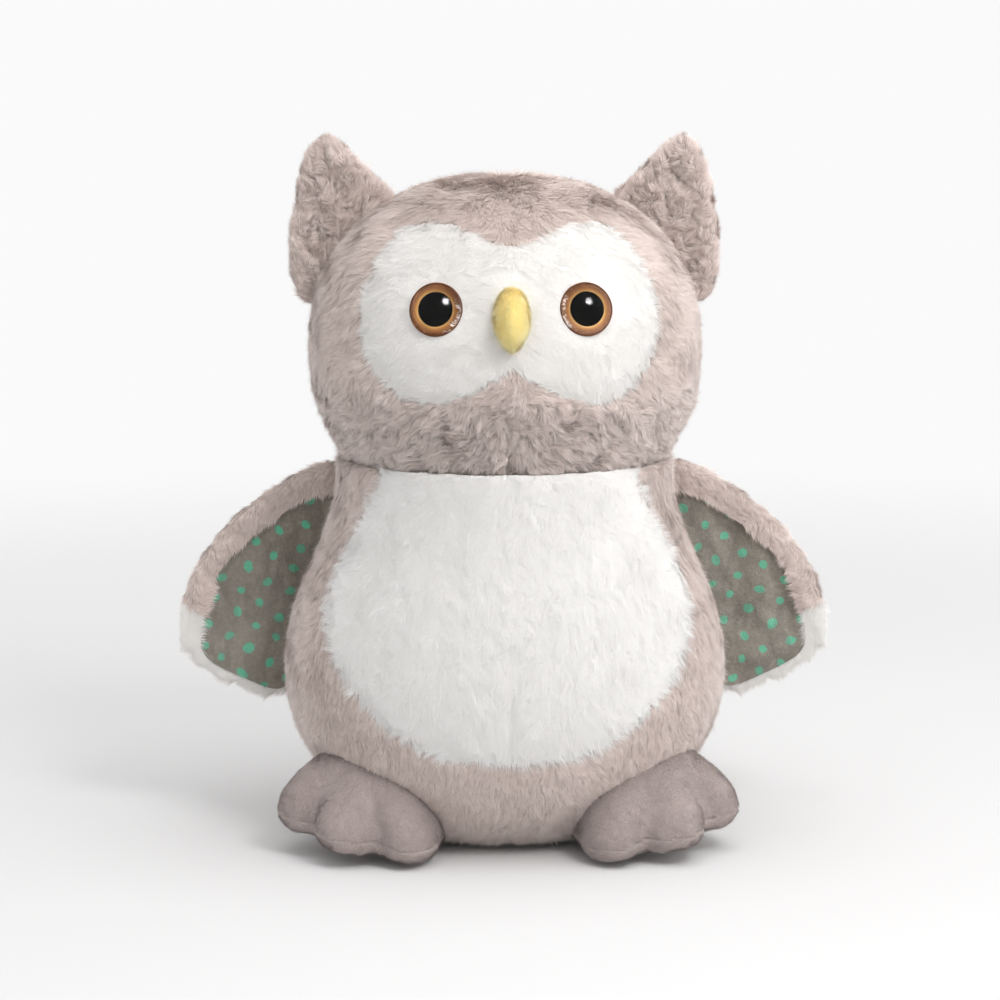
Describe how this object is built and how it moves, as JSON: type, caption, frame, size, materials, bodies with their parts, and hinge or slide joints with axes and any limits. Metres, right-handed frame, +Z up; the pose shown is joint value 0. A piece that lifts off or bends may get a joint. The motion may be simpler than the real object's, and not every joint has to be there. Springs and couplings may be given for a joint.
{
  "type": "plush owl",
  "caption": "Seated plush owl with a big round head that turns and nods, folding ears, flapping wings with a dotted lining, soft toed feet, glossy amber eyes and a yellow beak.",
  "frame": {"origin": "middle of the base panel, on the surface that the owl sits on", "axes": "+Z up, -Y the way the owl faces, +X towards the owl's own left side"},
  "size_m": [0.2758, 0.1724, 0.2935],
  "materials": {
    "grey_plush": "combed long-pile plush, warm grey",
    "white_plush": "fluffy long-pile plush, warm white",
    "grey_velour": "short-pile velour, taupe grey",
    "yellow_velour": "short-pile velour, soft yellow",
    "dotted_lining": "thin taupe cloth printed with green dots",
    "fibre": "loose polyester fibre, hidden inside",
    "pellet_cloth": "plain woven bag of pellets, hidden inside",
    "clear_plastic": "clear glossy plastic dome",
    "black_plastic": "glossy black",
    "amber_paint": "amber and gold paint",
    "dark_plastic": "dark brown moulded plastic",
    "washer_plastic": "white moulded plastic, hidden inside"
  },
  "bodies": {
    "root": {"body_stuffing": "fibre", "body_front_left": "grey_plush", "body_front_right": "grey_plush", "body_back_left": "grey_plush", "body_back_right": "grey_plush", "tummy_panel": "white_plush", "base_panel": "grey_velour", "pellet_bag": "pellet_cloth"},
    "neck": {"neck_stuffing": "fibre"},
    "head": {"head_stuffing": "fibre", "head_front_left": "grey_plush", "head_front_right": "grey_plush", "head_back_left": "grey_plush", "head_back_right": "grey_plush", "face_panel": "white_plush", "beak_cover": "yellow_velour", "beak_stuffing": "fibre", "eye_cup_left": "dark_plastic", "eye_cup_right": "dark_plastic", "eye_iris_left": "amber_paint", "eye_iris_right": "amber_paint", "eye_lens_left": "clear_plastic", "eye_lens_right": "clear_plastic", "eye_pupil_left": "black_plastic", "eye_pupil_right": "black_plastic", "eye_washer_left": "washer_plastic", "eye_washer_right": "washer_plastic"},
    "ear_left": {"ear_back_left": "grey_plush", "ear_front_left": "grey_plush", "ear_stuffing_left": "fibre"},
    "wing_left": {"wing_batting_left": "fibre", "wing_lining_left": "dotted_lining", "wing_outer_left": "grey_plush", "wing_tip_left": "white_plush"},
    "foot_left": {"foot_sole_left": "grey_velour", "foot_stuffing_left": "fibre", "foot_upper_left": "grey_velour"},
    "ear_right": {"ear_back_right": "grey_plush", "ear_front_right": "grey_plush", "ear_stuffing_right": "fibre"},
    "wing_right": {"wing_batting_right": "fibre", "wing_lining_right": "dotted_lining", "wing_outer_right": "grey_plush", "wing_tip_right": "white_plush"},
    "foot_right": {"foot_sole_right": "grey_velour", "foot_stuffing_right": "fibre", "foot_upper_right": "grey_velour"}
  },
  "joints": [
    {"name": "head_turn", "type": "hinge", "parent": "root", "child": "neck", "pos_m": [0, 0, 0.2055], "axis": [0, 0, 1], "range_deg": [-25, 25], "stiffness_Nm_per_rad": 0.5},
    {"name": "head_nod", "type": "hinge", "parent": "neck", "child": "head", "pos_m": [0, 0, 0.2055], "axis": [1, 0, 0], "range_deg": [-12, 15], "stiffness_Nm_per_rad": 0.6},
    {"name": "ear_left_fold", "type": "hinge", "parent": "head", "child": "ear_left", "pos_m": [0.05975, 0, 0.2548], "axis": [0.6364, 0, -0.7713], "range_deg": [-15, 15], "stiffness_Nm_per_rad": 0.05},
    {"name": "wing_left_flap", "type": "hinge", "parent": "root", "child": "wing_left", "pos_m": [0.07827, 0.02, 0.10856], "axis": [0.2275, 0, -0.9738], "range_deg": [-45, 30], "stiffness_Nm_per_rad": 0.05},
    {"name": "foot_left_lift", "type": "hinge", "parent": "root", "child": "foot_left", "pos_m": [0.05925, -0.04586, 0.048], "axis": [-0.891, -0.454, 0], "range_deg": [0, 20], "stiffness_Nm_per_rad": 0.1},
    {"name": "ear_right_fold", "type": "hinge", "parent": "head", "child": "ear_right", "pos_m": [-0.05975, 0, 0.2548], "axis": [0.6364, 0, 0.7713], "range_deg": [-15, 15], "stiffness_Nm_per_rad": 0.05},
    {"name": "wing_right_flap", "type": "hinge", "parent": "root", "child": "wing_right", "pos_m": [-0.07827, 0.02, 0.10856], "axis": [0.2275, 0, 0.9738], "range_deg": [-45, 30], "stiffness_Nm_per_rad": 0.05},
    {"name": "foot_right_lift", "type": "hinge", "parent": "root", "child": "foot_right", "pos_m": [-0.05925, -0.04586, 0.048], "axis": [-0.891, 0.454, 0], "range_deg": [0, 20], "stiffness_Nm_per_rad": 0.1}
  ]
}
